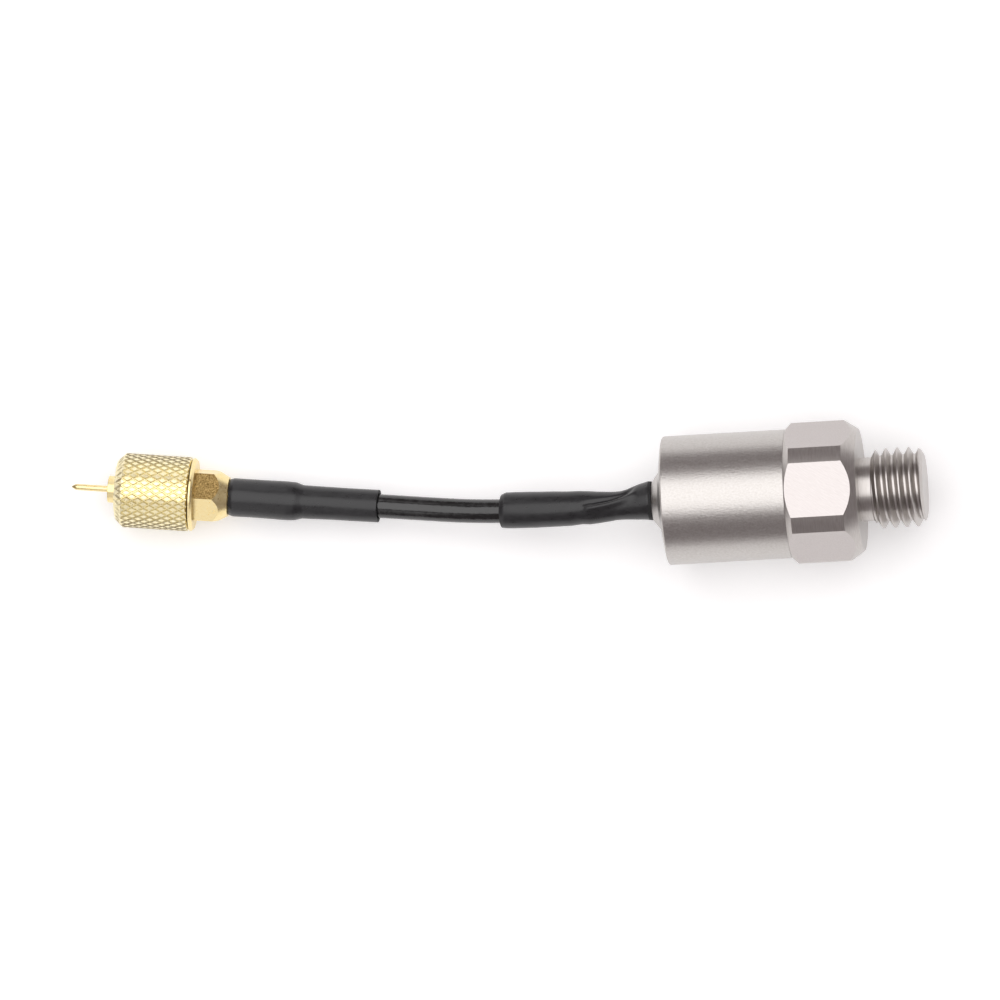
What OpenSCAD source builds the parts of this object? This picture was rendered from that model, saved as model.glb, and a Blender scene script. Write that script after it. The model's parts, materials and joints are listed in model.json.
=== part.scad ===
// Shock and vibration sensor with an integral mounting stud and a short
// coaxial tail that ends in a knurled screw-on plug. Millimetres.
// X runs along the sensor: the stud points to +X and the cable leaves towards -X.
// The origin is the centre of the mounting face, and the sensor lies on a hexagon flat.

/* [Hexagon base] */
// Distance across the hexagon flats
hex_af = 10.3; // [10:0.1:11]
// Diameter of the round bar that the hexagon is milled on
hex_bar_d = 11.16; // [11:0.02:11.8]
// Length of the full-diameter part of the hexagon
hex_len = 4.18; // [3.5:0.02:6]
// Diameter of the rim behind the mounting face
face_d = 10.1; // [9:0.1:10.4]
// Length of the land behind the mounting face
face_land = 0.29; // [0.1:0.01:0.6]
// Depth of the bevel that the land ends in at the mounting face
face_edge = 0.2; // [0.05:0.05:0.3]
// Length of the cone between the land and the hexagon
face_cone = 0.79; // [0.4:0.01:1.2]

/* [Mounting stud] */
// Major diameter of the stud thread
stud_d = 6.35; // [5:0.05:8]
// Length of the stud from the mounting face
stud_len = 5.09; // [4:0.01:8]
// Diameter of the relief neck behind the thread
neck_d = 5.06; // [4:0.02:5.4]
// Length of the relief neck
neck_len = 0.95; // [0.5:0.05:1.5]
// Chamfer at the free end of the stud
stud_chamfer = 0.45; // [0.2:0.05:0.8]

/* [Can] */
// Outside diameter of the can
can_d = 10.2; // [9.4:0.1:10.8]
// Length of the can from the hexagon to its rear edge
can_len = 9.82; // [9:0.02:14]
// Wall of the can
can_wall = 0.5; // [0.35:0.05:0.65]
// Thickness of the can's end wall
can_end = 1.12; // [0.6:0.02:1.5]
// Chamfer round the rear edge of the can
can_chamfer = 0.1; // [0.1:0.05:0.5]
// Height of the end wall's shallow cone and of the boss on it, together
exit_cone = 1.04; // [0.8:0.02:2]
// Diameter at the foot of the boss
boss_d = 4.7; // [4.2:0.1:6]
// Height of the boss
boss_len = 0.6; // [0.3:0.01:0.7]
// Diameter of the boss's flat top, where the cable leaves
exit_d = 3.1; // [2.9:0.1:4]
// Length of the spigot that locates the can on the base
spigot_len = 0.8; // [0.5:0.1:1.2]

/* [Sensing element] */
// Diameter of the post that carries the sensing element
post_d = 2.8; // [2.2:0.1:3.2]
// Wall of the piezoelectric shear ring
piezo_wall = 0.8; // [0.5:0.05:0.9]
// Wall of the seismic mass
mass_wall = 1.2; // [0.9:0.05:1.35]
// Wall of the preload ring
ring_wall = 0.4; // [0.3:0.05:0.55]
// Free space at each end of the sensing element
element_room = 0.6; // [0.4:0.05:0.8]
// Length by which the preload ring is shorter than the mass at each end
ring_inset = 0.2; // [0.1:0.05:0.4]

/* [Electronics] */
// Thickness of the circuit board
board_t = 0.6; // [0.4:0.1:1]
// Width of the rim of the board carrier
carrier_rim = 0.36; // [0.25:0.01:0.5]
// Width of the ledge that the board sits on
carrier_ledge = 0.5; // [0.3:0.05:0.8]
// Thickness of the ledge
carrier_t = 0.5; // [0.3:0.1:0.6]
// Side of the square amplifier chip
chip_w = 2; // [1.4:0.1:2.4]
// Height of the amplifier chip
chip_h = 0.7; // [0.5:0.05:0.9]
// Length of a chip resistor
resistor_len = 1; // [0.8:0.1:1.2]
// Height of a chip resistor
resistor_h = 0.35; // [0.2:0.05:0.5]
// Free height between the post and the board
lead_room = 1.4; // [1.2:0.1:2]
// Free height between the chip and the potting
chip_room = 0.3; // [0.2:0.05:0.6]
// Diameter of the bonded signal lead
lead_d = 0.24; // [0.15:0.01:0.3]

/* [Cable] */
// Outside diameter of the cable
cable_d = 1.9; // [1.5:0.05:2]
// Diameter of the cable's inner conductor
core_d = 0.4; // [0.3:0.05:0.6]
// Thickness of the potting behind the cable exit
potting_t = 0.7; // [0.5:0.1:1]
// Wall of the ferrule that anchors the cable in the can
anchor_wall = 0.22; // [0.15:0.01:0.3]
// Length of the anchor ferrule outside the can
anchor_out = 0.5; // [0.3:0.05:0.6]

/* [Heat-shrink sleeves] */
// Length of the sleeve at the sensor
sensor_sleeve_len = 12.1; // [9:0.1:15]
// Length of the sleeve at the plug
plug_sleeve_len = 12; // [10:0.1:15]
// Wall of the sleeves
sleeve_wall = 0.26; // [0.2:0.02:0.3]

/* [Plug] */
// Diameter of the contact pin
pin_d = 0.5; // [0.4:0.02:0.6]
// Length of the pin in front of the nose
pin_out = 2.96; // [2:0.02:4]
// Length of the conical tip of the pin
pin_tip = 0.5; // [0.2:0.05:0.8]
// Diameter of the pin's shank inside the insulator
shank_d = 0.86; // [0.8:0.02:0.9]
// Diameter of the solder cup at the rear of the pin
cup_d = 1; // [0.94:0.02:1.04]
// Length of the solder cup behind the contact sleeve
cup_out = 0.2; // [0.1:0.05:0.4]
// Outside diameter of the nose
nose_d = 2.14; // [2:0.02:2.4]
// Wall of the nose
nose_wall = 0.27; // [0.2:0.01:0.32]
// Length of the nose in front of the nut
nose_out = 0.68; // [0.5:0.02:1.5]
// Length of the flange that keeps the nut on the plug
flange_len = 0.7; // [0.5:0.05:1]
// Diameter of the journal that the nut turns on
journal_d = 3; // [2.8:0.05:3.2]
// Diameter of the press-fit end behind the journal
press_d = 2.6; // [2.4:0.05:2.7]
// Length of the press-fit end
press_len = 1.4; // [1.2:0.02:2]
// Diameter of the collar behind the nut
collar_d = 5.8; // [5:0.1:6]
// Length of the collar's full-diameter part
collar_land = 0.13; // [0.05:0.01:0.3]
// Length of the collar's sloping shoulder
collar_slope = 0.74; // [0.4:0.02:1]
// Diameter at the rear of the shoulder
shoulder_d = 4.4; // [4.4:0.1:5]
// Distance across the plug's wrench flats
wrench_af = 3.8; // [3.6:0.05:4.1]
// Distance from the collar's front to the start of the wrench flats
wrench_start = 0.3; // [0.2:0.05:0.6]
// Distance from the collar's front to the end of the full hexagon
wrench_end = 1.8; // [1.7:0.05:2.4]
// Turn of the wrench flats about the plug's axis
wrench_turn = 20; // [0:1:60]
// Length of the plug body from the collar's front to its rear face
body_len = 2.95; // [2.9:0.01:4]
// Diameter of the plug body's rear face
body_rear_d = 3.1; // [2.9:0.05:3.3]
// Length of the stub that the crimp ferrule grips
stub_len = 1.65; // [1.2:0.05:2.5]
// Wall of that stub
stub_wall = 0.12; // [0.1:0.01:0.15]
// Wall of the crimp ferrule
crimp_wall = 0.11; // [0.08:0.01:0.15]
// Length of the crimp ferrule
crimp_len = 5.2; // [4:0.1:6]

/* [Coupling nut] */
// Outside diameter over the knurl
nut_d = 5.9; // [5.5:0.1:6.6]
// Length of the nut
nut_len = 5.9; // [5:0.02:7]
// Minor diameter of the nut's thread
nut_thread_d = 4.1; // [4:0.05:4.3]
// Chamfer at the mouth of the thread
mouth_chamfer = 0.25; // [0.1:0.05:0.3]
// Extra diameter of the relief behind the thread
nut_relief = 0.4; // [0.2:0.05:0.5]
// Length of the lip that runs on the journal
lip_len = 1.4; // [0.8:0.02:1.5]
// Knurl ridges round the nut
knurl_count = 32; // [20:1:40]
// Spacing of the knurl diamonds along the nut
knurl_pitch = 0.9; // [0.6:0.05:1.4]
// Depth of the knurl
knurl_depth = 0.17; // [0.08:0.01:0.25]
// Length of the chamfer at the front of the nut
nut_front_len = 0.62; // [0.3:0.02:1]
// Depth of that chamfer
nut_front_depth = 0.6; // [0.3:0.05:0.65]
// Chamfer at the rear of the nut
nut_rear_chamfer = 0.12; // [0.05:0.01:0.3]

/* [Clearances] */
// Radial play of pieces that are pressed or bonded together
fit_gap = 0.02; // [0.01:0.01:0.04]
// Radial play of the nut on its journal
run_gap = 0.05; // [0.02:0.01:0.08]
// End play of the nut, in front and behind
nut_play = 0.1; // [0.05:0.01:0.2]
// Play between the cable and the pieces round it
cable_gap = 0.03; // [0.02:0.01:0.05]
// Depth by which the set of the cable presses the nut below the level of the hexagon
nut_press = 0.04; // [0:0.01:0.08]

/* [Hidden] */
$fn = 72;
titanium = [0.66, 0.64, 0.62];
gold = [0.86, 0.72, 0.36];
black = [0.16, 0.16, 0.17];

// Length by which a cutting tool overshoots the face it cuts
overshoot = 1;

// Stations along the sensor
can_r = can_d / 2;
bore_r = can_r - can_wall;
bar_r = hex_bar_d / 2;
rear_cone = abs(bar_r - can_r);
flank_angle = 30;
thread_flank = (stud_d - neck_d) / 2 * tan(flank_angle);
hex_front_x = -face_land - face_cone;
hex_rear_x = hex_front_x - hex_len;
seam_x = hex_rear_x - rear_cone;
can_rear_x = seam_x - can_len;
exit_x = can_rear_x - exit_cone;
cavity_rear_x = can_rear_x + can_end;
potting_x = cavity_rear_x + potting_t;
board_rear_x = potting_x + chip_room + chip_h;
board_front_x = board_rear_x + board_t;
post_end_x = board_front_x + lead_room;
element_front_x = seam_x - spigot_len - element_room;
element_rear_x = post_end_x + element_room;

// Radii of the sensing element, from the post outwards
piezo_in = post_d / 2 + fit_gap;
piezo_out = piezo_in + piezo_wall;
mass_in = piezo_out + fit_gap;
mass_out = mass_in + mass_wall;
ring_in = mass_out + fit_gap;
ring_out = ring_in + ring_wall;
carrier_out = bore_r - fit_gap;
board_r = carrier_out - carrier_rim - fit_gap;
resistor_w = resistor_len / 2;

// Stations along the plug, counted from the front of the nut towards the cable
lip_front = nut_len - lip_len;
flange_rear = lip_front - nut_play;
flange_front = flange_rear - flange_len;
collar_front = nut_len + nut_play;
press_rear = collar_front + press_len;
cup_rear = press_rear + cup_out;
cup_front = flange_rear;
body_rear = collar_front + body_len;
crimp_front = body_rear + fit_gap;
nose_front = -nose_out;
pin_front = nose_front - pin_out;
nose_bore_r = nose_d / 2 - nose_wall;
cable_hole_r = cable_d / 2 + cable_gap;
stub_r = cable_hole_r + stub_wall;
crimp_in = stub_r + fit_gap;
crimp_out = crimp_in + crimp_wall;
anchor_out_r = cable_hole_r + anchor_wall;

// Lie of the cable: distance behind the exit, sideways offset, share of the drop to the plug
route = [
    [0, 0, 0],
    [1.4, -0.05, 0],
    [3.4, -0.14, 0.04],
    [5.4, -0.16, 0.11],
    [7.4, -0.16, 0.2],
    [9.4, -0.13, 0.32],
    [11.4, -0.07, 0.44],
    [13.4, 0.04, 0.55],
    [15.4, 0.2, 0.65],
    [17.4, 0.42, 0.74],
    [19.4, 0.66, 0.83],
    [21.4, 0.9, 0.9],
    [23.4, 1.12, 0.95],
    [25.4, 1.35, 0.98],
    [27.4, 1.58, 1],
    [35.3, 2.55, 1]
];
route_side = [for (p = route) [p[0], p[1]]];
route_drop = [for (p = route) [p[0], p[2]]];
route_step = 0.1;
plug_drop = (nut_d - hex_af) / 2 - nut_press;
function lie(d) = [exit_x - d, lookup(d, route_side), plug_drop * lookup(d, route_drop)];

// The plug lies in line with the cable's last stretch
cable_far = lie(route[len(route) - 1][0]);
cable_near = lie(route[len(route) - 2][0]);
plug_dir = (cable_near - cable_far) / norm(cable_near - cable_far);
plug_turn = atan2(plug_dir[1], plug_dir[0]);
plug_origin = cable_far - cup_rear * plug_dir;
function plug_d(s) = exit_x - plug_origin[0] - s * plug_dir[0];

// Outside radius of each sleeve against the distance from its thick end
sensor_sleeve_r = [
    [0, 1.55],
    [0.5, 1.5],
    [1.2, 1.36],
    [2.6, 1.2],
    [4.2, 1.24],
    [5.8, 1.3],
    [8, 1.37],
    [11.8, 1.43],
    [12.1, 1.38]
];
plug_sleeve_r = [
    [0, 1.4],
    [0.35, 1.52],
    [2.5, 1.52],
    [4.7, 1.55],
    [5.4, 1.52],
    [6, 1.33],
    [9, 1.3],
    [12, 1.3]
];
sleeve_sides = 16;
cable_sides = 8;

// A solid turned about the X axis: each point is [station, radius]
module turned(points)
    rotate([0, 90, 0])
        rotate_extrude()
            polygon([for (p = points) [p[1], p[0]]]);

// A tube about the X axis
module tube(x0, x1, r_in, r_out)
    turned([[x0, r_in], [x1, r_in], [x1, r_out], [x0, r_out]]);

// A hexagonal bar about the X axis, with one flat facing turn degrees from +Z towards +Y
module hex_bar(x0, x1, af, turn)
    translate([x0, 0, 0])
        rotate([-turn, 0, 0])
            rotate([0, 90, 0])
                rotate([0, 0, 30])
                    cylinder(h = x1 - x0, d = af / cos(30), $fn = 6);

// Places a piece of the plug, drawn with its stations along +X
module in_plug()
    translate(plug_origin)
        rotate([0, 0, plug_turn])
            children();

// One ring of points square to the cable's route
function ring(d, r, sides) =
    let (along = lie(d - route_step) - lie(d + route_step))
    let (side = cross([0, 0, 1], along) / norm(cross([0, 0, 1], along)))
    let (up = cross(along, side) / norm(along))
    [for (i = [0 : sides - 1]) lie(d) + r * (cos(360 * i / sides) * side + sin(360 * i / sides) * up)];

// Side faces between consecutive rings, as triangles that face outwards
function skin(rings, sides, first) = [
    for (k = [0 : rings - 2], i = [0 : sides - 1], half = [0, 1])
        let (j = (i + 1) % sides)
        let (a = first + k * sides)
        let (b = a + sides)
        half == 0 ? [a + i, a + j, b + j] : [a + i, b + j, b + i]
];
function flipped(faces) = [for (f = faces) [f[2], f[1], f[0]]];

// Ring-shaped end face between an outer and an inner ring
function annulus(outer, inner, sides) = [
    for (i = [0 : sides - 1], half = [0, 1])
        let (j = (i + 1) % sides)
        half == 0 ? [outer + i, inner + i, inner + j] : [outer + i, inner + j, outer + j]
];

// A sleeve along the cable's route: stations d, with an outer and an inner radius at each
module routed_sleeve(d, r_out, r_in) {
    rings = len(d);
    sides = sleeve_sides;
    inner = rings * sides;
    points = concat(
        [for (k = [0 : rings - 1]) each ring(d[k], r_out[k], sides)],
        [for (k = [0 : rings - 1]) each ring(d[k], r_in[k], sides)]
    );
    faces = concat(
        skin(rings, sides, 0),
        flipped(skin(rings, sides, inner)),
        annulus(0, inner, sides),
        flipped(annulus(inner - sides, 2 * inner - sides, sides))
    );
    polyhedron(points, faces);
}

// Base: hexagon, mounting face, stud and the inner post, turned and milled from one bar
module sensor_base()
    color(titanium)
        union() {
            intersection() {
                turned([
                    [seam_x, 0],
                    [seam_x, can_r],
                    [hex_rear_x, bar_r],
                    [hex_front_x, bar_r],
                    [-face_land, face_d / 2],
                    [0, face_d / 2 - face_edge],
                    [0, 0]
                ]);
                hex_bar(seam_x, 0, hex_af, 0);
            }
            turned([
                [hex_front_x, 0],
                [hex_front_x, neck_d / 2],
                [neck_len, neck_d / 2],
                [neck_len + thread_flank, stud_d / 2],
                [stud_len - stud_chamfer, stud_d / 2],
                [stud_len, stud_d / 2 - stud_chamfer],
                [stud_len, 0]
            ]);
            turned([
                [hex_rear_x, 0],
                [hex_rear_x, bore_r - fit_gap],
                [seam_x - spigot_len, bore_r - fit_gap],
                [seam_x - spigot_len, post_d / 2],
                [post_end_x, post_d / 2],
                [post_end_x, 0]
            ]);
        }

// Can: a turned cup with a shallow cone, a boss and the cable hole in its end
module housing_can()
    color(titanium)
        turned([
            [seam_x, bore_r],
            [seam_x, can_r],
            [can_rear_x + can_chamfer, can_r],
            [can_rear_x, can_r - can_chamfer],
            [exit_x + boss_len, boss_d / 2],
            [exit_x, exit_d / 2],
            [exit_x, anchor_out_r + fit_gap],
            [cavity_rear_x, anchor_out_r + fit_gap],
            [cavity_rear_x, bore_r]
        ]);

// Sensing element: ceramic shear ring, heavy mass and the ring that holds them in tension
module piezo_ring()
    color("beige")
        tube(element_rear_x, element_front_x, piezo_in, piezo_out);

module seismic_mass()
    color("dimgray")
        tube(element_rear_x, element_front_x, mass_in, mass_out);

module preload_ring()
    color("silver")
        tube(element_rear_x + ring_inset, element_front_x - ring_inset, ring_in, ring_out);

// Insulating carrier with a ledge for the round circuit board
module board_carrier()
    color("tan")
        turned([
            [board_front_x + carrier_t, board_r - carrier_ledge],
            [board_front_x + carrier_t, carrier_out],
            [board_rear_x, carrier_out],
            [board_rear_x, board_r + fit_gap],
            [board_front_x, board_r + fit_gap],
            [board_front_x, board_r - carrier_ledge]
        ]);

module circuit_board()
    color("darkgreen")
        turned([
            [board_rear_x, 0],
            [board_rear_x, board_r],
            [board_front_x, board_r],
            [board_front_x, 0]
        ]);

// Board parts stand on the rear face of the board, clear of the core in the middle
module on_board(y, z, w, len, h)
    translate([board_rear_x - h, y - w / 2, z - len / 2])
        cube([h, w, len]);

module amplifier_chip()
    color(black)
        on_board(0, board_r / 2, chip_w, chip_w, chip_h);

module chip_resistors()
    color(black)
        for (side = [-1, 1])
            on_board(side * board_r / 2, -board_r / 4, resistor_w, resistor_len, resistor_h);

// Lead from the seismic mass to the front of the board
module signal_lead()
    color("goldenrod")
        translate([board_front_x, 0, (mass_in + mass_out) / 2])
            rotate([0, 90, 0])
                cylinder(h = element_rear_x - board_front_x, d = lead_d);

// Bared inner conductor of the cable, soldered to the middle of the board
module core_lead()
    color("goldenrod")
        translate([potting_x, 0, 0])
            rotate([0, 90, 0])
                cylinder(h = board_rear_x - potting_x, d = core_d);

module cable_potting()
    color("saddlebrown")
        tube(cavity_rear_x, potting_x, anchor_out_r + fit_gap, bore_r - fit_gap);

// Ferrule that anchors the cable in the end wall of the can
module cable_anchor()
    color("silver")
        tube(exit_x - anchor_out, potting_x, cable_hole_r, anchor_out_r);

// Sleeve over the cable at the sensor, flared over the anchor ferrule
module sensor_sleeve() {
    stretch = sensor_sleeve_len / sensor_sleeve_r[len(sensor_sleeve_r) - 1][0];
    d = [for (p = sensor_sleeve_r) p[0] * stretch + fit_gap];
    r_out = [for (p = sensor_sleeve_r) p[1]];
    flare = anchor_out_r + cable_gap;
    grip = cable_hole_r;
    r_in = [for (p = sensor_sleeve_r) p[0] * stretch <= anchor_out + sleeve_wall ? flare : grip];
    color(black)
        routed_sleeve(d, r_out, r_in);
}

// Cable: one round jacket from the inside of the can to the solder cup of the plug
module cable() {
    d = concat([exit_x - potting_x], [for (p = route) p[0]]);
    rings = len(d);
    sides = cable_sides;
    last = (rings - 1) * sides;
    color(black)
        polyhedron(
            [for (k = d) each ring(k, cable_d / 2, sides)],
            concat(
                skin(rings, sides, 0),
                [[for (i = [0 : sides - 1]) sides - 1 - i]],
                [[for (i = [0 : sides - 1]) last + i]]
            )
        );
}

// Sleeve over the crimp ferrule and the cable behind the plug
module plug_sleeve() {
    stretch = plug_sleeve_len / plug_sleeve_r[len(plug_sleeve_r) - 1][0];
    d = [for (p = plug_sleeve_r) plug_d(crimp_front + p[0] * stretch)];
    r_out = [for (p = plug_sleeve_r) p[1]];
    r_in = [for (p = plug_sleeve_r)
        p[0] * stretch <= crimp_len + sleeve_wall ? crimp_out + cable_gap : cable_hole_r];
    color(black)
        routed_sleeve(d, r_out, r_in);
}

module crimp_ferrule()
    color("silver")
        in_plug()
            tube(crimp_front, crimp_front + crimp_len, crimp_in, crimp_out);

// Plug body: collar, wrench hexagon, cone and crimp stub, with the press-fit bore in front
module plug_body()
    color(gold)
        in_plug()
            difference() {
                intersection() {
                    turned([
                        [collar_front, 0],
                        [collar_front, collar_d / 2],
                        [collar_front + collar_land, collar_d / 2],
                        [collar_front + collar_land + collar_slope, shoulder_d / 2],
                        [collar_front + collar_land + collar_slope, wrench_af / 2 / cos(30)],
                        [collar_front + wrench_end, wrench_af / 2 / cos(30)],
                        [body_rear, body_rear_d / 2],
                        [body_rear, stub_r],
                        [body_rear + stub_len, stub_r],
                        [body_rear + stub_len, 0]
                    ]);
                    union() {
                        hex_bar(collar_front, body_rear + stub_len, wrench_af, wrench_turn);
                        tube(collar_front, collar_front + wrench_start, 0, collar_d);
                    }
                }
                turned([
                    [collar_front - overshoot, 0],
                    [collar_front - overshoot, press_d / 2 + fit_gap],
                    [press_rear + fit_gap, press_d / 2 + fit_gap],
                    [press_rear + fit_gap, cable_hole_r],
                    [body_rear + stub_len + overshoot, cable_hole_r],
                    [body_rear + stub_len + overshoot, 0]
                ]);
            }

// Contact sleeve: nose, flange, journal for the nut and press-fit end, turned as one
module contact_sleeve()
    color(gold)
        in_plug()
            turned([
                [nose_front, nose_bore_r],
                [nose_front, nose_d / 2],
                [flange_front, nose_d / 2],
                [flange_front, nut_thread_d / 2 - nut_play],
                [flange_rear, nut_thread_d / 2 - nut_play],
                [flange_rear, journal_d / 2],
                [collar_front, journal_d / 2],
                [collar_front, press_d / 2],
                [press_rear, press_d / 2],
                [press_rear, nose_bore_r]
            ]);

// Diamond knurl: rows of points that are peaks and valleys in turn, so that every
// valley-to-valley edge is the bottom of a groove and every peak is a pyramid
knurl_zone = nut_len - nut_front_len - nut_rear_chamfer;
knurl_rows = round(knurl_zone / (knurl_pitch / 2));
knurl_step = knurl_zone / knurl_rows;
knurl_sides = 2 * knurl_count;
function knurl_peak(k, i) = (k + i) % 2 == 0;
function knurl_ring(s, k) = [
    for (i = [0 : knurl_sides - 1])
        let (r = nut_d / 2 - (knurl_peak(k, i) ? 0 : knurl_depth))
        [s, r * cos(360 * i / knurl_sides), r * sin(360 * i / knurl_sides)]
];
function plain_ring(s, r) = [
    for (i = [0 : knurl_sides - 1])
        [s, r * cos(360 * i / knurl_sides), r * sin(360 * i / knurl_sides)]
];
function knurl_skin(first_row, last_row) = [
    for (k = [first_row : last_row], i = [0 : knurl_sides - 1], half = [0, 1])
        let (j = (i + 1) % knurl_sides)
        let (a = k * knurl_sides)
        let (b = a + knurl_sides)
        knurl_peak(k - 1, i)
            ? (half == 0 ? [a + i, b + i, a + j] : [a + j, b + i, b + j])
            : (half == 0 ? [a + i, b + i, b + j] : [a + i, b + j, a + j])
];
module knurled_blank() {
    last = (knurl_rows + 2) * knurl_sides;
    polyhedron(
        concat(
            plain_ring(0, nut_d / 2 - nut_front_depth),
            [for (k = [0 : knurl_rows]) each knurl_ring(nut_front_len + k * knurl_step, k)],
            plain_ring(nut_len, nut_d / 2 - knurl_depth - nut_rear_chamfer)
        ),
        concat(
            knurl_skin(0, knurl_rows + 1),
            [[for (i = [0 : knurl_sides - 1]) i]],
            [[for (i = [0 : knurl_sides - 1]) last + knurl_sides - 1 - i]]
        )
    );
}

// Coupling nut: threaded mouth in front, and a lip behind that runs on the journal
module coupling_nut() {
    thread_r = nut_thread_d / 2;
    relief_front = flange_front - nut_play;
    color(gold)
        in_plug()
            difference() {
                knurled_blank();
                turned([
                    [-overshoot, 0],
                    [-overshoot, thread_r + mouth_chamfer],
                    [0, thread_r + mouth_chamfer],
                    [mouth_chamfer, thread_r],
                    [relief_front, thread_r],
                    [relief_front, thread_r + nut_relief / 2],
                    [lip_front, thread_r + nut_relief / 2],
                    [lip_front, journal_d / 2 + run_gap],
                    [nut_len + overshoot, journal_d / 2 + run_gap],
                    [nut_len + overshoot, 0]
                ]);
            }
}

module plug_insulator()
    color("white")
        in_plug()
            turned([
                [nose_front, shank_d / 2 + fit_gap],
                [nose_front, nose_bore_r - fit_gap],
                [press_rear, nose_bore_r - fit_gap],
                [press_rear, cup_d / 2 + fit_gap],
                [cup_front - fit_gap, cup_d / 2 + fit_gap],
                [cup_front - fit_gap, shank_d / 2 + fit_gap]
            ]);

module contact_pin()
    color(gold)
        in_plug()
            turned([
                [pin_front, 0],
                [pin_front + pin_tip, pin_d / 2],
                [nose_front, pin_d / 2],
                [nose_front, shank_d / 2],
                [cup_front, shank_d / 2],
                [cup_front, cup_d / 2],
                [cup_rear, cup_d / 2],
                [cup_rear, 0]
            ]);

sensor_base();
housing_can();
piezo_ring();
seismic_mass();
preload_ring();
board_carrier();
circuit_board();
amplifier_chip();
chip_resistors();
signal_lead();
core_lead();
cable_potting();
cable_anchor();
sensor_sleeve();
cable();
plug_sleeve();
crimp_ferrule();
plug_body();
contact_sleeve();
coupling_nut();
plug_insulator();
contact_pin();
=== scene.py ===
import json
import math
import bpy
from mathutils import Matrix, Vector, noise
from mathutils.geometry import interpolate_bezier
from numpy import interp


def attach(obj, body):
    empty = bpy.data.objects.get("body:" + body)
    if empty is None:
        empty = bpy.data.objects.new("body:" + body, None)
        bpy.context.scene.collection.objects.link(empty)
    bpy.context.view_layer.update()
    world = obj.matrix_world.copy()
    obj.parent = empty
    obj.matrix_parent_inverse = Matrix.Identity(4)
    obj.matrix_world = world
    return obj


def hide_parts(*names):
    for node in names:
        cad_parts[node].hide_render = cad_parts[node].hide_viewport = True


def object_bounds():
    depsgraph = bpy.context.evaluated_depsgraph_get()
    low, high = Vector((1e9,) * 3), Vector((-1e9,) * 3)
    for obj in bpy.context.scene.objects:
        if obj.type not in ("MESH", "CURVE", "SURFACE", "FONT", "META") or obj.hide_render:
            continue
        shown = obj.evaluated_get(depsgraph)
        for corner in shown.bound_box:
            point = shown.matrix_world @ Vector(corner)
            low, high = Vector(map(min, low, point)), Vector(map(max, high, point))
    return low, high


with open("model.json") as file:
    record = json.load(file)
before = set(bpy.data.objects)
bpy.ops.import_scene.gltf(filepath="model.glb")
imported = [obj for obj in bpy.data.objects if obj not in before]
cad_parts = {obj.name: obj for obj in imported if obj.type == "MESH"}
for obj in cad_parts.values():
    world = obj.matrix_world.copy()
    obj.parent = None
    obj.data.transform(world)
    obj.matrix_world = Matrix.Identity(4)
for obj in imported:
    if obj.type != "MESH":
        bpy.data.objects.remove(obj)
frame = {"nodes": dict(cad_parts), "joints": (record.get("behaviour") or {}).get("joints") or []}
cad_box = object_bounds()

# Sensor base: hexagon, mounting face, threaded stud and inner post in one piece of titanium.
# It is turned from bar on a lathe, then the six flats are milled and the thread is cut.
# Every piece is drawn in millimetres about the X axis and then put into the frame in metres.
stud_r = 3.175
stud_end = 5.09
# The stud's rounded end: how far back from the end, and how far in from the full radius.
end_round = ((0, 0.62), (0.2, 0.27), (0.6, 0))
thread_from = 1.322
thread_pitch = 0.907
neck_r = 2.53
neck_end = 0.95
face_r = 5.05
face_edge_x = -0.29
face_edge_rise = 0.2
bar_r = 5.58
bar_from = -1.08
bar_to = -5.26
half_flats = 5.15
seam_x = -5.74
seam_r = 5.1
spigot_r = 4.58
spigot_end = seam_x - 0.8
post_r = 1.4
post_end = -10.74


def turned(name, outline, steps=128):
    """A lathe piece: points of (station, radius) joined in a row and spun about the X axis."""
    bpy.ops.object.select_all(action="DESELECT")
    bpy.ops.mesh.primitive_plane_add(size=1)
    piece = bpy.context.object
    piece.name = name
    bpy.ops.object.mode_set(mode="EDIT")
    bpy.ops.mesh.select_mode(type="VERT")
    bpy.ops.mesh.select_all(action="SELECT")
    bpy.ops.mesh.merge(type="CENTER")
    bpy.ops.transform.translate(value=(outline[0][0], 0, outline[0][1]))
    for (x0, r0), (x1, r1) in zip(outline, outline[1:]):
        bpy.ops.mesh.extrude_vertices_move(TRANSFORM_OT_translate={"value": (x1 - x0, 0, r1 - r0)})
    bpy.ops.mesh.select_all(action="SELECT")
    bpy.ops.mesh.spin(steps=steps, angle=math.tau, center=(0, 0, 0), axis=(1, 0, 0))
    bpy.ops.mesh.select_all(action="SELECT")
    bpy.ops.mesh.remove_doubles(threshold=0.0005)
    bpy.ops.mesh.normals_make_consistent(inside=False)
    bpy.ops.object.mode_set(mode="OBJECT")
    return piece


def worked(piece, kind, **settings):
    """Adds a modifier to a piece and applies it."""
    modifier = piece.modifiers.new(kind, kind)
    for key, value in settings.items():
        setattr(modifier, key, value)
    bpy.context.view_layer.objects.active = piece
    bpy.ops.object.modifier_apply(modifier=modifier.name)


def cut(piece, tool, operation="DIFFERENCE"):
    """Takes a tool's shape away from a piece, or keeps only what lies inside it."""
    worked(piece, "BOOLEAN", object=tool, operation=operation, solver="EXACT")
    bpy.data.objects.remove(tool)


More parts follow.
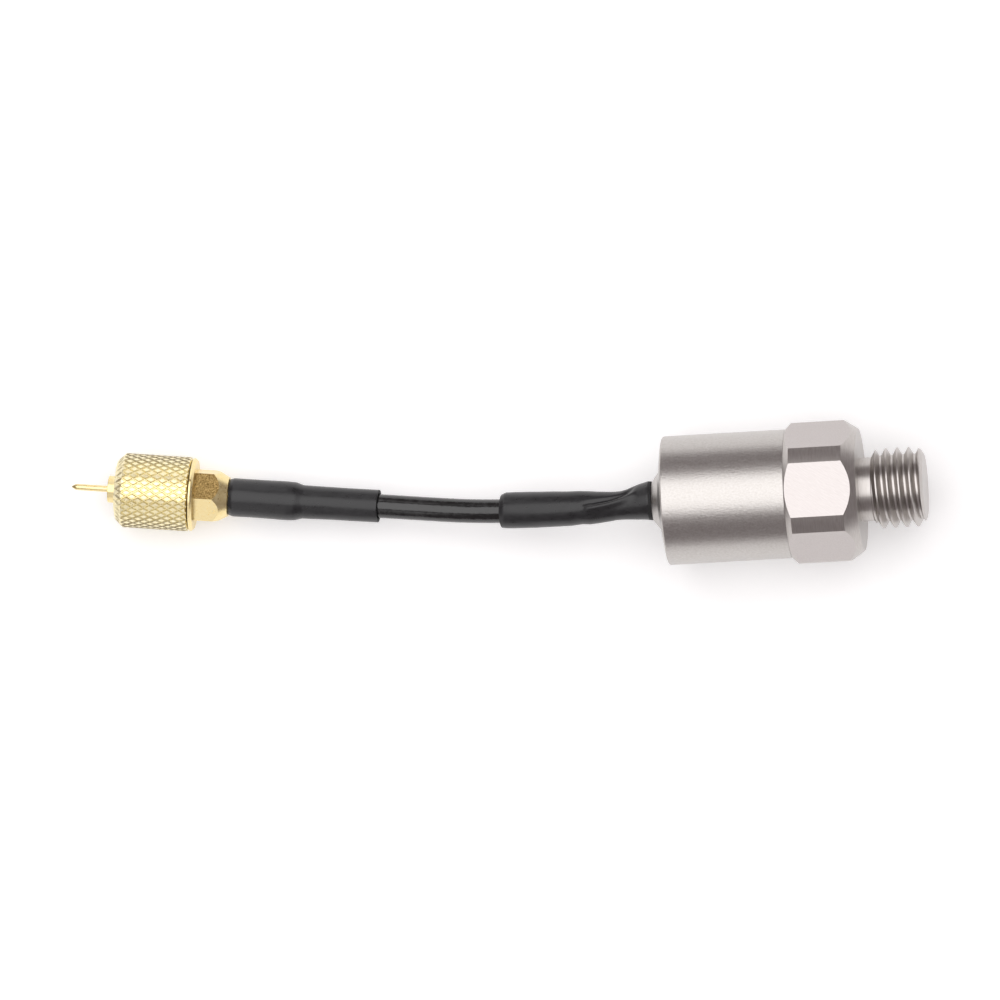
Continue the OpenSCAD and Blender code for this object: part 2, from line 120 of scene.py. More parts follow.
def thread_tool(start, pitch, turns, near, far):
    """A helical cutter: near and far are its (half width, radius), from the side of -Z onwards."""
    bpy.ops.object.select_all(action="DESELECT")
    bpy.ops.mesh.primitive_plane_add(size=1)
    tool = bpy.context.object
    bpy.ops.object.mode_set(mode="EDIT")
    bpy.ops.mesh.delete(type="ONLY_FACE")
    bpy.ops.object.mode_set(mode="OBJECT")
    corners = ((-near[0], near[1]), (near[0], near[1]), (-far[0], far[1]), (far[0], far[1]))
    for vertex, (x, r) in zip(tool.data.vertices, corners):
        vertex.co = (start + x, 0, -r)
    worked(tool, "SCREW", axis="X", angle=math.tau, screw_offset=pitch, iterations=turns,
           steps=64, render_steps=64)
    bpy.ops.object.mode_set(mode="EDIT")
    bpy.ops.mesh.select_all(action="SELECT")
    bpy.ops.mesh.fill_holes(sides=4)
    bpy.ops.mesh.select_all(action="SELECT")
    bpy.ops.mesh.normals_make_consistent(inside=False)
    bpy.ops.object.mode_set(mode="OBJECT")
    return tool


def smoothed(piece, angle=30):
    """Smooth shading on the curved faces, with flat faces kept flat."""
    bpy.ops.object.select_all(action="DESELECT")
    piece.select_set(True)
    bpy.context.view_layer.objects.active = piece
    bpy.ops.object.shade_smooth_by_angle(angle=math.radians(angle))
    worked(piece, "WEIGHTED_NORMAL", keep_sharp=True)


def broken_edges(piece, width, angle=20):
    """The small broken edge where faces meet at more than an angle, as a file leaves it."""
    worked(piece, "BEVEL", width=width, segments=2, limit_method="ANGLE",
           angle_limit=math.radians(angle))


def into_frame(piece, place=Matrix()):
    """Turns a piece drawn in millimetres into metres, at its place in the frame."""
    bpy.ops.object.select_all(action="DESELECT")
    piece.select_set(True)
    bpy.context.view_layer.objects.active = piece
    piece.matrix_world = place @ Matrix.Scale(0.001, 4)
    bpy.ops.object.transform_apply(location=True, rotation=True, scale=True)


base = turned("base_with_stud", [
    (stud_end, 0),
    *((stud_end - back, stud_r - inward) for back, inward in end_round),
    (thread_from, stud_r),
    (neck_end, neck_r),
    (0, neck_r),
    (0, face_r - face_edge_rise),
    (face_edge_x, face_r),
    (bar_from, bar_r),
    (bar_to, bar_r),
    (seam_x, seam_r),
    (seam_x, spigot_r),
    (spigot_end, spigot_r),
    (spigot_end, post_r),
    (post_end, post_r),
    (post_end, 0),
])
bpy.ops.object.mode_set(mode="EDIT")
for flat in range(6):
    square = Vector((0, math.sin(flat * math.pi / 3), math.cos(flat * math.pi / 3)))
    bpy.ops.mesh.select_all(action="SELECT")
    bpy.ops.mesh.bisect(plane_co=half_flats * square, plane_no=square, use_fill=True,
                        clear_outer=True, threshold=0.00001)
bpy.ops.object.mode_set(mode="OBJECT")
broken_edges(base, 0.02)
cut(base, thread_tool(start=0.51, pitch=thread_pitch, turns=6, near=(0.076, 2.62), far=(0.423, 3.22)))
smoothed(base)


def linear(code):
    """An sRGB hex colour as the linear colour that a shader takes."""
    shares = [int(code[i:i + 2], 16) / 255 for i in (1, 3, 5)]
    return [c / 12.92 if c <= 0.04045 else ((c + 0.055) / 1.055) ** 2.4 for c in shares] + [1]


def add_node(tree, kind, inputs, **settings):
    """Adds a node with its settings, and gives each named input a value or a link."""
    node = tree.nodes.new(kind)
    for key, value in settings.items():
        setattr(node, key, value)
    for key, value in inputs.items():
        if isinstance(value, bpy.types.NodeSocket):
            tree.links.new(value, node.inputs[key])
        else:
            node.inputs[key].default_value = value
    return node


def surface(name, pale, deep, metallic, rough, grain, depth, stretch=(1, 1, 1), turn=(0, 0, 0)):
    """A finish with one grain: two hex colours, a range of roughness, grain size and depth in mm.
    The stretch multiplies the grain along each axis, after the turn."""
    material = bpy.data.materials.new(name)
    material.use_nodes = True
    tree = material.node_tree
    tree.nodes.clear()
    place = add_node(tree, "ShaderNodeTexCoord", {})
    lie = add_node(tree, "ShaderNodeMapping", {
        "Vector": place.outputs["Object"],
        "Rotation": turn,
    })
    scaled = add_node(tree, "ShaderNodeMapping", {
        "Vector": lie.outputs["Vector"],
        "Scale": [1000 / grain / share for share in stretch],
    })
    grains = add_node(tree, "ShaderNodeTexNoise", {
        "Vector": scaled.outputs["Vector"],
        "Scale": 1,
        "Detail": 3,
        "Roughness": 0.6,
    })
    # The noise seldom leaves the range between these two.
    grain_low = 0.3
    grain_high = 0.7
    colour = add_node(tree, "ShaderNodeValToRGB", {"Fac": grains.outputs["Fac"]})
    colour.color_ramp.elements[0].position = grain_low
    colour.color_ramp.elements[0].color = linear(deep)
    colour.color_ramp.elements[1].position = grain_high
    colour.color_ramp.elements[1].color = linear(pale)
    roughness = add_node(tree, "ShaderNodeMapRange", {
        "Value": grains.outputs["Fac"],
        "From Min": grain_low,
        "From Max": grain_high,
        "To Min": rough[0],
        "To Max": rough[1],
    })
    bump = add_node(tree, "ShaderNodeBump", {
        "Height": grains.outputs["Fac"],
        "Strength": 1,
        "Distance": depth / 1000,
    })
    shader = add_node(tree, "ShaderNodeBsdfPrincipled", {
        "Base Color": colour.outputs["Color"],
        "Metallic": metallic,
        "Roughness": roughness.outputs["Result"],
        "Normal": bump.outputs["Normal"],
    })
    add_node(tree, "ShaderNodeOutputMaterial", {"Surface": shader.outputs["BSDF"]})
    return material


# Turned titanium is a warm grey with a satin sheen and very fine rings from the tool.
turned_titanium = surface("turned_titanium", "#c9c5c2", "#b8b3af", 1, (0.28, 0.36), 0.12, 0.002,
                          (0.5, 6, 6))
# Milled titanium has fine straight marks, slanted across each flat.
milled_titanium = surface("milled_titanium", "#cac5c3", "#bbb5b3", 1, (0.3, 0.4), 0.1, 0.0012,
                          (6, 0.6, 0.6), (0, 0, math.radians(35)))
base.data.materials.append(turned_titanium)
base.data.materials.append(milled_titanium)
for face in base.data.polygons:
    from_axis = face.center.y * face.normal.y + face.center.z * face.normal.z
    if abs(face.normal.x) < 0.01 and abs(from_axis - half_flats) < 0.005:
        face.material_index = 1
into_frame(base)
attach(base, "sensor")
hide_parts("sensor_base")

# Sensing element: a ceramic ring, a heavy steel mass and a ring shrunk over both on the post.
# The ring is fired piezo ceramic and the other two are turned steel, hidden inside the can.


def finished(node, material):
    """Gives a CAD node that keeps its own shape a finish."""
    for holder in frame["nodes"][node].material_slots:
        holder.material = material


# Fired ceramic is a dull cream with a fine, sandy grain.
piezo_ceramic = surface("fired_ceramic", "#d9cfb4", "#c4b795", 0, (0.5, 0.65), 0.08, 0.004)
# Turned steel is a cooler grey than the titanium, with the same fine rings.
turned_steel = surface("turned_steel", "#a9aaac", "#8d8e91", 1, (0.25, 0.4), 0.1, 0.002,
                       (0.5, 6, 6))
finished("piezo_ring", piezo_ceramic)
finished("seismic_mass", turned_steel)
finished("preload_ring", turned_steel)

# Amplifier: a round glass-epoxy board in a moulded carrier, with one chip and two resistors.
# Thin copper leads join it to the mass in front and to the core of the cable behind.

# Moulded plastic is an even tan with a low sheen.
carrier_plastic = surface("moulded_plastic", "#b39a74", "#a08862", 0, (0.4, 0.5), 0.2, 0.003)
# Glass epoxy is green from its solder resist, and a little uneven from the cloth under it.
board_laminate = surface("glass_epoxy", "#2f6b43", "#235636", 0, (0.3, 0.45), 0.25, 0.004)
# Moulded epoxy is a dull near-black.
chip_plastic = surface("moulded_epoxy", "#2a2a2c", "#1e1e20", 0, (0.5, 0.65), 0.06, 0.003)
# Drawn copper is a warm red-brown, with the marks of the die along the wire.
copper = surface("drawn_copper", "#d39a72", "#b97c55", 1, (0.25, 0.4), 0.06, 0.001, (8, 1, 1))
finished("board_carrier", carrier_plastic)
finished("circuit_board", board_laminate)
finished("amplifier_chip", chip_plastic)
finished("chip_resistors", chip_plastic)
finished("signal_lead", copper)
finished("core_lead", copper)

# Housing can: a thin titanium cup pushed over the spigot of the base and welded at the seam.
# It is turned, lightly blasted to a satin, and its end is a shallow cone with a boss for the cable.
can_bore_r = 4.6
can_rear = -15.56
can_chamfer = 0.1
end_wall_x = -14.44
exit_x = -16.6
exit_bore_r = 1.22
boss_len = 0.6
boss_r = 2.35
boss_end_r = 1.55
can = turned("housing_can_shell", [
    (seam_x, can_bore_r),
    (seam_x, seam_r),
    (can_rear + can_chamfer, seam_r),
    (can_rear, seam_r - can_chamfer),
    (exit_x + boss_len, boss_r),
    (exit_x, boss_end_r),
    (exit_x, exit_bore_r),
    (end_wall_x, exit_bore_r),
    (end_wall_x, can_bore_r),
    (seam_x, can_bore_r),
])
broken_edges(can, 0.03)
smoothed(can)
# Blasted titanium has a fine speckle, a little longer along the can than round it.
# The real grit is finer; it is drawn as coarse as it needs to show.
blasted_titanium = surface("blasted_titanium", "#cac7c4", "#b8b4b0", 1, (0.28, 0.38), 0.13, 0.014,
                           (1.5, 1, 1))
can.data.materials.append(blasted_titanium)
into_frame(can)
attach(can, "sensor")
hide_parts("housing_can")

# Cable seal: a steel ferrule squeezed on the cable in the end wall, potted in epoxy from inside.
# Both are hidden, the ferrule by the sleeve and the potting by the can.

# Cast epoxy is a glossy brown where it has flowed level.
potting_epoxy = surface("cast_epoxy", "#5a3d26", "#47301d", 0, (0.25, 0.4), 0.5, 0.004)
finished("cable_potting", potting_epoxy)
finished("cable_anchor", turned_steel)

# Plug front: the contact pin in its fluoropolymer insulator, pressed into the contact sleeve.
# The pin and the sleeve are turned brass with gold plating; the sleeve's flange keeps the nut on.
# The plug is drawn about the X axis too, with the front of its nut at 0.
spin = frame["joints"][0]
spin_axis = Vector(spin["axis"])
plug_place = Matrix.Translation(spin["pos_m"]) @ Matrix.Rotation(
    math.atan2(spin_axis.y, spin_axis.x), 4, "Z")
press_gap = 0.02
nose_front = -0.68
nose_r = 1.07
press_rear = 7.4
press_r = 1.3
pin_tip = -3.64
pin_r = 0.25
# The pin's rounded tip: how far back from the tip, and the radius there.
tip_round = ((0, 0), (0.02, 0.06), (0.29, 0.22), (0.44, pin_r))
shank_r = 0.43
cup_from = 4.4
cup_end = 7.6
cup_r = 0.5
insulator_r = 0.78
insulator_edge = 0.06
insulator_mouth_r = 0.5
flange_front = 3.7
flange_rear = 4.4
flange_r = 1.95
journal_r = 1.5
collar_front = 6
pin = turned("plug_pin", [
    *((pin_tip + back, radius) for back, radius in tip_round),
    (nose_front, pin_r),
    (nose_front, shank_r),
    (cup_from, shank_r),
    (cup_from, cup_r),
    (cup_end, cup_r),
    (cup_end, 0),
], 48)
smoothed(pin)
# Gold plate over turned brass is bright, with the faint orange peel of the plating bath.
gold_plate = surface("gold_plate", "#f9e8b6", "#f0d99a", 1, (0.26, 0.36), 0.25, 0.003)
pin.data.materials.append(gold_plate)
insulator = turned("plug_dielectric", [
    (nose_front + insulator_edge, shank_r + press_gap),
    (nose_front, insulator_mouth_r),
    (nose_front, insulator_r - insulator_edge),
    (nose_front + insulator_edge, insulator_r),
    (press_rear, insulator_r),
    (press_rear, cup_r + press_gap),
    (cup_from - press_gap, cup_r + press_gap),
    (cup_from - press_gap, shank_r + press_gap),
    (nose_front + insulator_edge, shank_r + press_gap),
], 64)
smoothed(insulator)
# Fluoropolymer is white and waxy.
fluoropolymer = surface("fluoropolymer", "#f2f1ec", "#e4e2db", 0, (0.35, 0.5), 0.2, 0.003)
insulator.data.materials.append(fluoropolymer)
sleeve_bore_r = insulator_r + press_gap
sleeve = turned("plug_contact_sleeve", [
    (nose_front, sleeve_bore_r),
    (nose_front, nose_r),
    (flange_front, nose_r),
    (flange_front, flange_r),
    (flange_rear, flange_r),
    (flange_rear, journal_r),
    (collar_front, journal_r),
    (collar_front, press_r),
    (press_rear, press_r),
    (press_rear, sleeve_bore_r),
    (nose_front, sleeve_bore_r),
], 96)
broken_edges(sleeve, 0.04)
smoothed(sleeve)
sleeve.data.materials.append(gold_plate)
for piece, node, slot in ((pin, "contact_pin", "gold_plate"),
                          (insulator, "plug_insulator", "ptfe"),
                          (sleeve, "contact_sleeve", "gold_plate")):
    into_frame(piece, plug_place)
    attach(piece, "sensor")
    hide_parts(node)

# Plug body: a collar, six small wrench flats, a cone and the stub that the cable is crimped on.
# It is turned brass with milled flats and gold plating, pressed on the end of the contact sleeve.
# A crimp ferrule, also gold plated, sits round the stub and is hidden by the sleeve.
collar_r = 2.9
collar_to = 6.13
flats_start = 6.3
half_wrench = 1.9
wrench_from = 6.87
wrench_from_r = 2.2
wrench_to = 7.8
wrench_to_r = 2.194
flat_lean = math.radians(20)
spanner_len = 6
cone_end = 8.95
cone_end_r = 1.55
stub_end = 10.6
stub_r = 1.1
stub_bore_r = 0.98
body = turned("plug_barrel", [
    (collar_front, press_r + press_gap),
    (collar_front, collar_r),
    (collar_to, collar_r),
    (wrench_from, wrench_from_r),
    (wrench_to, wrench_to_r),
    (cone_end, cone_end_r),
    (cone_end, stub_r),
    (stub_end, stub_r),
    (stub_end, stub_bore_r),
    (press_rear + press_gap, stub_bore_r),
    (press_rear + press_gap, press_r + press_gap),
    (collar_front, press_r + press_gap),
], 96)


def prism(name, sides, radius, first, last, ends="NGON"):
    """A prism about the X axis between two stations, with closed ends or with none."""
    bpy.ops.object.select_all(action="DESELECT")
    bpy.ops.mesh.primitive_cylinder_add(vertices=sides, radius=radius, depth=last - first,
                                        end_fill_type=ends, location=((first + last) / 2, 0, 0),
                                        rotation=(0, math.pi / 2, 0))
    piece = bpy.context.object
    piece.name = name
    bpy.ops.object.transform_apply(location=True, rotation=True, scale=True)
    return piece


def select_only(piece, kind, wanted):
    """Goes into edit mode with the points, edges or faces selected whose corners pass a test."""
    bpy.ops.object.mode_set(mode="EDIT")
    bpy.ops.mesh.select_mode(type=kind)
    bpy.ops.mesh.select_all(action="DESELECT")
    bpy.ops.object.mode_set(mode="OBJECT")
    points = piece.data.vertices
    for part in {"VERT": points, "EDGE": piece.data.edges, "FACE": piece.data.polygons}[kind]:
        corners = [part.index] if kind == "VERT" else part.vertices
        part.select = wanted(*(points[i].co for i in corners))
    bpy.ops.object.mode_set(mode="EDIT")


# What the wrench flats leave: a hexagon prism that widens in front of the flats, for the collar.
corner_r = half_wrench / math.cos(math.pi / 6)
spanner = prism("wrench_flats", 6, corner_r, flats_start, flats_start + spanner_len)
select_only(spanner, "FACE", lambda *corners: all(co.x < flats_start + 0.01 for co in corners))
bpy.ops.mesh.extrude_region_move()
bpy.ops.transform.resize(value=(1, 3, 3))
bpy.ops.mesh.extrude_region_move(TRANSFORM_OT_translate={"value": (-2, 0, 0)})
bpy.ops.mesh.select_all(action="SELECT")
bpy.ops.mesh.normals_make_consistent(inside=False)
bpy.ops.object.mode_set(mode="OBJECT")
spanner.matrix_world = Matrix.Rotation(-flat_lean, 4, "X")
bpy.context.view_layer.update()
cut(body, spanner, "INTERSECT")
broken_edges(body, 0.05)
smoothed(body)
# The flat that faces up is painted a dull brown speckle: painted shade, for the dark reflection that
# flat shows.
painted_shade_gold = surface("painted_shade_gold", "#c6a86e", "#604922", 1, (0.3, 0.45), 0.14, 0.03)
body.data.materials.append(gold_plate)
body.data.materials.append(painted_shade_gold)
top_flat = Vector((0, math.sin(flat_lean), math.cos(flat_lean)))
# Only the flat facing up takes the painted shade.
for face in body.data.polygons:
    face.material_index = int(face.normal.dot(top_flat) > 0.999)
into_frame(body, plug_place)
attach(body, "sensor")
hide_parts("plug_body")
finished("crimp_ferrule", gold_plate)

# Coupling nut: spins freely between the flange and the collar, and screws onto the jack.
# It is gold-plated brass with a diamond knurl rolled in, a thread in front and a lip behind.
ridges = 32
ridge_r = 2.95
valley_r = 2.82
half_diamond = 0.469
rows = 15
knurl_from = 0.62
knurl_start = knurl_from - 2 * half_diamond
knurl_end = knurl_start + rows * half_diamond
front_chamfer = 0.6
rear_chamfer = (0.12, 0.17)
end_play = 0.1
nut_end = collar_front - end_play
lip_front = flange_rear + end_play
lip_r = journal_r + 0.05
relief_front = flange_front - end_play
relief_r = 2.25
bore_r = 2.05
mouth_r = 2.3
mouth_depth = 0.25
jack_pitch = 0.794
nut = prism("knurled_nut", 2 * ridges, valley_r, knurl_start, knurl_end, "NOTHING")


def is_ridge(co):
    """True at the points of the knurl's chequer that the grooves leave standing."""
    row = round((co.x - knurl_start) / half_diamond)
    side = round(math.atan2(co.z, co.y) / math.tau * 2 * ridges)
    return (row + side) % 2 == 0


# The grooves join the other points crosswise, and each diamond between them is raised.
select_only(nut, "EDGE", lambda a, b: abs(a.x - b.x) > 1)
bpy.ops.mesh.subdivide(number_cuts=rows - 1)
select_only(nut, "VERT", lambda co: not is_ridge(co))
bpy.ops.mesh.vert_connect()
select_only(nut, "VERT", is_ridge)
bpy.ops.mesh.dissolve_verts()
bpy.ops.mesh.select_mode(type="FACE")
bpy.ops.mesh.select_all(action="SELECT")
bpy.ops.mesh.normals_make_consistent(inside=False)
bpy.ops.mesh.inset(thickness=0.02, depth=0, use_individual=True, use_boundary=True)
bpy.ops.mesh.inset(thickness=0.075, depth=0.135, use_individual=True, use_boundary=True)
bpy.ops.object.mode_set(mode="OBJECT")
for end in (knurl_start, knurl_end):
    select_only(nut, "EDGE", lambda a, b: abs(a.x - end) + abs(b.x - end) < 0.001)
    bpy.ops.mesh.edge_face_add()
    bpy.ops.object.mode_set(mode="OBJECT")
# In front the knurl runs out over the chamfer, and its grooves get shallower towards the mouth.
bpy.ops.object.mode_set(mode="EDIT")
bpy.ops.mesh.select_all(action="SELECT")
bpy.ops.mesh.bisect(plane_co=(knurl_from, 0, 0), plane_no=(1, 0, 0))
bpy.ops.object.mode_set(mode="OBJECT")
for vertex in nut.data.vertices:
    share = vertex.co.x / knurl_from
    if share < 1:
        radius = math.hypot(vertex.co.y, vertex.co.z)
        lowered = ridge_r - front_chamfer * (1 - share) - (ridge_r - radius) * max(0, share)
        vertex.co.yz = vertex.co.yz * lowered / radius
blank = turned("nut_blank", [
    (0, mouth_r),
    (0, ridge_r),
    (nut_end - rear_chamfer[0], ridge_r),
    (nut_end, ridge_r - rear_chamfer[1]),
    (nut_end, lip_r),
    (lip_front, lip_r),
    (lip_front, relief_r),
    (relief_front, relief_r),
    (relief_front, bore_r),
    (mouth_depth, bore_r),
    (0, mouth_r),
])
cut(nut, blank, "INTERSECT")
cut(nut, thread_tool(start=-0.6, pitch=jack_pitch, turns=5, near=(0.36, 2.0), far=(0.1, 2.38)))
smoothed(nut, 20)
# The knurl's gold plate is paler than on the turned faces: painted highlight, for the whitened glints
# of its many facets.
pale_gold_painted_glints = surface("pale_gold_painted_glints", "#f9f1ce", "#f0e2b1", 1, (0.26, 0.36), 0.25, 0.003)
nut.data.materials.append(pale_gold_painted_glints)
into_frame(nut, plug_place)
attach(nut, "nut")
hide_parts("coupling_nut")

# Cable: a thin low-noise coaxial lead with a black fluoropolymer jacket, crimped in the plug.
# It leaves the can straight, sinks towards the bench and runs into the plug in one shallow curve.
# Its route: the distance behind the can, the way to the side, and the share of the plug's drop.
cable_r = 0.95
plug_drop = spin["pos_m"][2] * 1000
route = [
    (-2.86, 0, 0), (0, 0, 0), (1.4, -0.05, 0), (3.4, -0.14, 0.04), (5.4, -0.16, 0.11),
    (7.4, -0.16, 0.2), (9.4, -0.13, 0.32), (11.4, -0.07, 0.44), (13.4, 0.04, 0.55),
    (15.4, 0.2, 0.65), (17.4, 0.42, 0.74), (19.4, 0.66, 0.83), (21.4, 0.9, 0.9),
    (23.4, 1.12, 0.95), (25.4, 1.35, 0.98), (27.4, 1.58, 1), (31.3, 2.059, 1), (35.3, 2.55, 1),
]
line = bpy.data.curves.new("cable_jacket", "CURVE")
line.dimensions = "3D"
line.resolution_u = 8
line.bevel_depth = cable_r / 1000
line.bevel_resolution = 6
line.use_fill_caps = True
spline = line.splines.new("BEZIER")
spline.bezier_points.add(len(route) - 1)
for point, (behind, side, share) in zip(spline.bezier_points, route):
    point.co = Vector((exit_x - behind, side, plug_drop * share)) / 1000
    point.handle_left_type = point.handle_right_type = "AUTO"
cable = bpy.data.objects.new("cable_jacket", line)
bpy.context.collection.objects.link(cable)
bpy.context.view_layer.update()
# The black jacket is glossy, and the braid under it makes its highlight a little uneven.
jacket = surface("fluoropolymer_jacket", "#0b0b0c", "#060607", 0, (0.05, 0.26), 0.2, 0.01,
                 (2, 1, 1))
jacket.node_tree.nodes["Principled BSDF"].inputs["Specular IOR Level"].default_value = 0.75
line.materials.append(jacket)
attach(cable, "sensor")
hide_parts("cable")

# Sleeves: two lengths of black heat-shrink tube, one over the ferrule at the can and one over
# the crimp behind the plug. Each is cut from tube and shrunk on, so it follows what lies under it.
sleeve_wall = 0.26
ring_step = 0.1
sensor_tube_ends = (0.02, 12.12)
plug_tube_ends = (22.03, 33.93)
centre = []
for here, after in zip(spline.bezier_points, spline.bezier_points[1:]):
    centre += interpolate_bezier(here.co, here.handle_right, after.handle_left, after.co, 24)[:-1]
centre.append(spline.bezier_points[-1].co.copy())
centre = [point * 1000 for point in centre]


def cable_at(behind):
    """The cable's middle at a distance behind the can, with its direction away from the can."""
    x = exit_x - behind
    beyond = next((i for i, point in enumerate(centre) if point.x <= x), 1)
    k = max(1, min(len(centre) - 2, beyond))
    share = (centre[k - 1].x - x) / (centre[k - 1].x - centre[k].x)
    return centre[k - 1].lerp(centre[k], share), (centre[k + 1] - centre[k - 1]).normalized()


def shrunk_tube(name, ends, reach):
    """Heat-shrink along the cable between two distances; reach(distance, angle) is its radius.
    The angle counts from the top, +Z, towards +Y."""
    first, last = ends
    tube = prism(name, 96, 1, -last, -first, "NOTHING")
    select_only(tube, "EDGE", lambda a, b: abs(a.x - b.x) > 1)
    bpy.ops.mesh.subdivide(number_cuts=round((last - first) / ring_step) - 1)
    bpy.ops.object.mode_set(mode="OBJECT")
    for vertex in tube.data.vertices:
        behind = -vertex.co.x
        angle = math.atan2(vertex.co.y, vertex.co.z)
        middle, away = cable_at(behind)
        side = away.cross(Vector((0, 0, 1))).normalized()
        up = side.cross(away)
        radius = float(reach(behind, angle))
        vertex.co = middle + radius * (math.cos(angle) * up + math.sin(angle) * side)
    bpy.ops.object.mode_set(mode="EDIT")
    bpy.ops.mesh.select_all(action="SELECT")
    bpy.ops.mesh.normals_make_consistent(inside=False)
    bpy.ops.object.mode_set(mode="OBJECT")
    worked(tube, "SOLIDIFY", thickness=sleeve_wall, offset=-1, use_even_offset=True)
    broken_edges(tube, 0.03, 50)
    smoothed(tube, 60)
    return tube


# The sleeve at the can: its radius on the far side, +Y, and on the near side at each station.
stations = [0, 0.3, 1, 1.5, 2, 2.5, 3, 3.9, 4.4, 5.1, 5.7, 6.6, 7.5, 9.4, 11.2, 11.8, 12.1]
far_side = [1.6, 1.63, 1.46, 1.3, 1.15, 1.08, 1.09, 1.17, 1.2, 1.28, 1.33, 1.37, 1.41, 1.48, 1.5,
            1.48, 1.33]
near_side = [1.5, 1.45, 1.35, 1.31, 1.26, 1.21, 1.19, 1.26, 1.33, 1.37, 1.3, 1.37, 1.38, 1.39, 1.37,
             1.36, 1.33]


def pinched(behind, angle):
    """The sleeve at the can: flared, pinched behind the ferrule, with one slanting fold.
    The fold is a ridge with a groove above it, each at its own angle in degrees."""
    far_share = (1 + math.sin(angle)) / 2
    radius = interp(behind, stations, far_side) * far_share
    radius += interp(behind, stations, near_side) * (1 - far_share)
    ridge = interp(behind, [1.2, 1.8, 3.5, 5.3], [38, 25, 8, -2])
    groove = interp(behind, [1.2, 1.5, 2.2, 3.3, 4.7], [70, 56, 37, 22, 10])
    fold = interp(behind, [1.1, 1.9, 4.6, 5.6], [0, 1, 1, 0])
    turn = math.degrees(angle)
    slope = 7 if turn > ridge else 17
    radius += 0.2 * fold * math.exp(-((turn - ridge) / slope) ** 2)
    radius -= 0.13 * fold * math.exp(-((turn - groove) / 10) ** 2)
    if abs(turn) < 90:
        radius -= 0.05 * interp(behind, [4.2, 5.35, 5.6], [0, 1, 0]) * math.cos(angle) ** 2
    return radius + 0.02 * noise.noise((behind * 0.7, 1.5 * math.cos(angle), 1.5 * math.sin(angle)))


def stepped(behind, angle):
    """The sleeve behind the plug: full over the crimp ferrule, then one step down to the cable."""
    from_plug = (plug_tube_ends[1] - behind) / spin_axis.x
    radius = interp(from_plug, [0, 0.35, 2.5, 4.7, 5.3, 5.9, 9, 12],
                    [1.4, 1.52, 1.52, 1.55, 1.52, 1.33, 1.3, 1.3])
    return radius + 0.015 * noise.noise((behind * 0.6, 1.3 * math.cos(angle), 1.3 * math.sin(angle)))


sensor_tube = shrunk_tube("sleeve_at_sensor", sensor_tube_ends, pinched)
plug_tube = shrunk_tube("sleeve_at_plug", plug_tube_ends, stepped)
# Heat-shrink is black with a satin sheen, and its faint grain runs along the tube.
heat_shrink = surface("heat_shrink", "#29292b", "#1e1e20", 0, (0.26, 0.38), 0.3, 0.006, (2, 1, 1))
# The cut end faces are blacker and rougher, and so is the sleeve's last 0.3 mm at the can, where it
# is painted shade for the gap beside the can's boss.
cut_end_and_painted_shade = surface("heat_shrink_cut_end_and_shade", "#1d1d1e", "#121213", 0, (0.6, 0.75), 0.08, 0.01)
for piece, node in ((sensor_tube, "sensor_sleeve"), (plug_tube, "plug_sleeve")):
    piece.data.materials.append(heat_shrink)
    piece.data.materials.append(cut_end_and_painted_shade)
    for face in piece.data.polygons:
        # Besides the cut end faces, the faces within 0.3 mm of the can's end take the painted shade.
        face.material_index = int(abs(face.normal.x) > 0.9 or face.center.x > exit_x - 0.3)
    into_frame(piece)
    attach(piece, "sensor")
    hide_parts(node)

# Studio: a matt white floor that the sensor lies on, one large softbox overhead and a small
# fill lamp on each side of the plug. The room is plain grey, which gives the metal darker bands.
bpy.ops.object.select_all(action="DESELECT")
bpy.ops.mesh.primitive_plane_add(size=8, location=(0, 0, cad_box[0][2]))
floor = bpy.context.object
floor.name = "studio_floor"
# Matt white paint takes the shadow, and glows a little for the camera and in reflections only,
# so that the background is white without more light on the sensor.
floor_glow = 0.33
matt_white = bpy.data.materials.new("matt_white")
matt_white.use_nodes = True
tree = matt_white.node_tree
tree.nodes.clear()
ray = add_node(tree, "ShaderNodeLightPath", {})
seen_or_mirrored = add_node(tree, "ShaderNodeMath", {
    0: ray.outputs["Is Camera Ray"],
    1: ray.outputs["Is Glossy Ray"],
}, operation="MAXIMUM")
visible = add_node(tree, "ShaderNodeMath", {
    0: seen_or_mirrored.outputs["Value"],
    1: ray.outputs["Is Transmission Ray"],
}, operation="MAXIMUM")
glow = add_node(tree, "ShaderNodeMath", {
    0: visible.outputs["Value"],
    1: floor_glow,
}, operation="MULTIPLY")
paint = add_node(tree, "ShaderNodeBsdfPrincipled", {
    "Base Color": linear("#f4f4f4"),
    "Roughness": 0.9,
    "Specular IOR Level": 0,
    "Emission Color": linear("#ffffff"),
    "Emission Strength": glow.outputs["Value"],
})
add_node(tree, "ShaderNodeOutputMaterial", {"Surface": paint.outputs["BSDF"]})
floor.data.materials.append(matt_white)


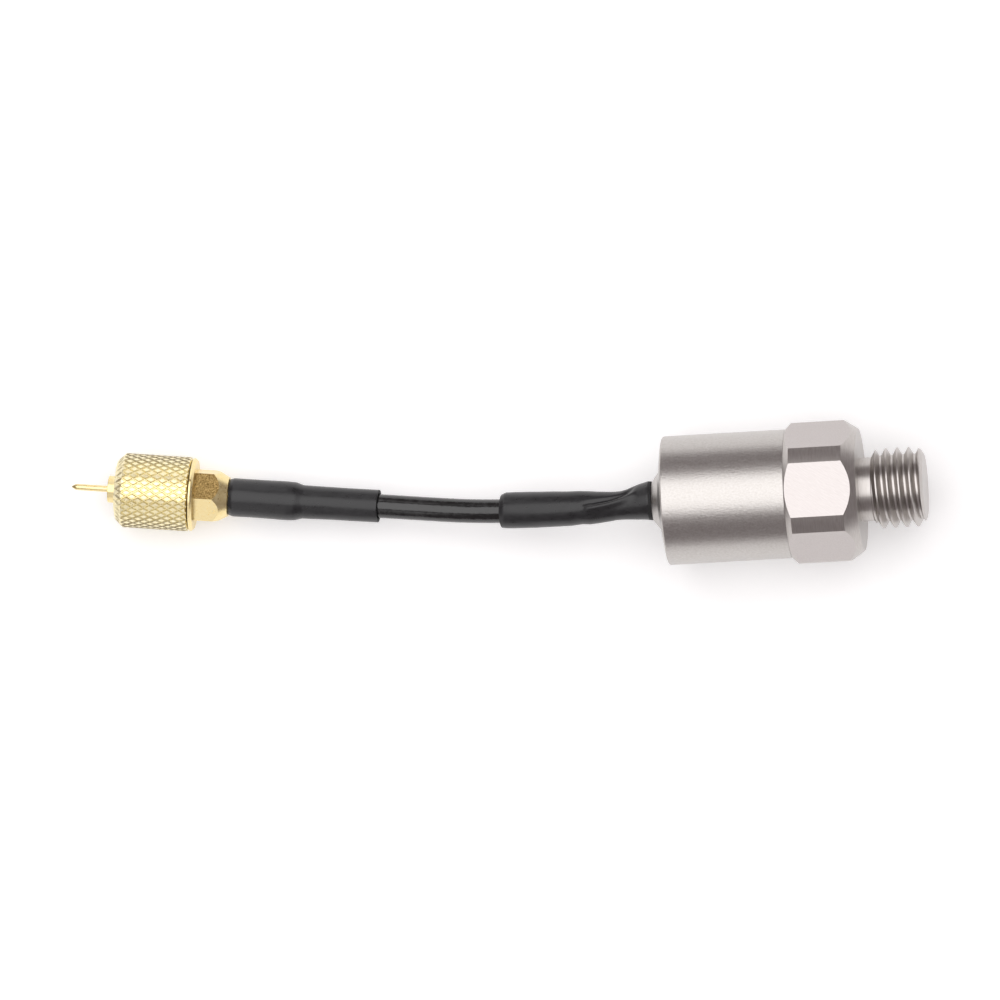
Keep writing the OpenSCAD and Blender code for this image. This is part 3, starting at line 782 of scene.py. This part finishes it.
def area_lamp(name, width, depth, power, target, offset):
    """A rectangular lamp that the camera doesn't see, at an offset from the point that it faces."""
    light = bpy.data.lights.new(name, "AREA")
    light.shape = "RECTANGLE"
    light.size = width
    light.size_y = depth
    light.energy = power
    lamp = bpy.data.objects.new(name, light)
    bpy.context.collection.objects.link(lamp)
    lamp.location = target + offset
    lamp.rotation_euler = offset.to_track_quat("Z", "Y").to_euler()
    lamp.visible_camera = False


box_lean = math.radians(6.5)
box_offset = 1.2 * Vector((0, math.sin(box_lean), math.cos(box_lean)))
area_lamp("softbox", 1.6, 1.56, 13.6, Vector((0, 0, 0)), box_offset)
plug_middle = Vector((-0.0545, 0.003, -0.0022))
area_lamp("plug_fill", 0.018, 0.04, 0.0029, plug_middle, Vector((0, 0.051, 0.0206)))
area_lamp("plug_fill", 0.018, 0.055, 0.003, plug_middle, Vector((-0.0116, -0.0483, 0.0262)))
room = bpy.data.worlds.new("plain_room")
room.use_nodes = True
room.node_tree.nodes["Background"].inputs["Color"].default_value = linear("#8a8283")
room.node_tree.nodes["Background"].inputs["Strength"].default_value = 1
bpy.context.scene.world = room
bpy.context.scene.view_settings.view_transform = "Standard"

# Camera: looks almost straight down, six degrees from the stud's end and 2.6 from the near side.
# The long distance gives the flat view of a product photograph.
frame_width = 0.07918
distance = 2.5
sensor_width = 36
from_end = math.radians(6)
from_side = math.radians(2.6)
roll = math.radians(3)
level = Vector((math.cos(from_end), 0, -math.sin(from_end)))
above = Vector((math.sin(from_end), 0, math.cos(from_end)))
ahead = Vector((0, 1, 0))
look = math.cos(from_side) * above - math.sin(from_side) * ahead
steep = math.sin(from_side) * above + math.cos(from_side) * ahead
right = math.cos(roll) * level - math.sin(roll) * steep
upward = math.sin(roll) * level + math.cos(roll) * steep
aim = Vector((-0.02875, 0.00081, 0))
eye = bpy.data.cameras.new("product_camera")
eye.sensor_width = sensor_width
eye.lens = sensor_width * distance / frame_width
eye.clip_end = 20
camera = bpy.data.objects.new("product_camera", eye)
bpy.context.collection.objects.link(camera)
camera.matrix_world = Matrix.Translation(aim + distance * look) @ Matrix(
    (right, upward, look)).transposed().to_4x4()
bpy.context.scene.camera = camera

bpy.context.view_layer.update()
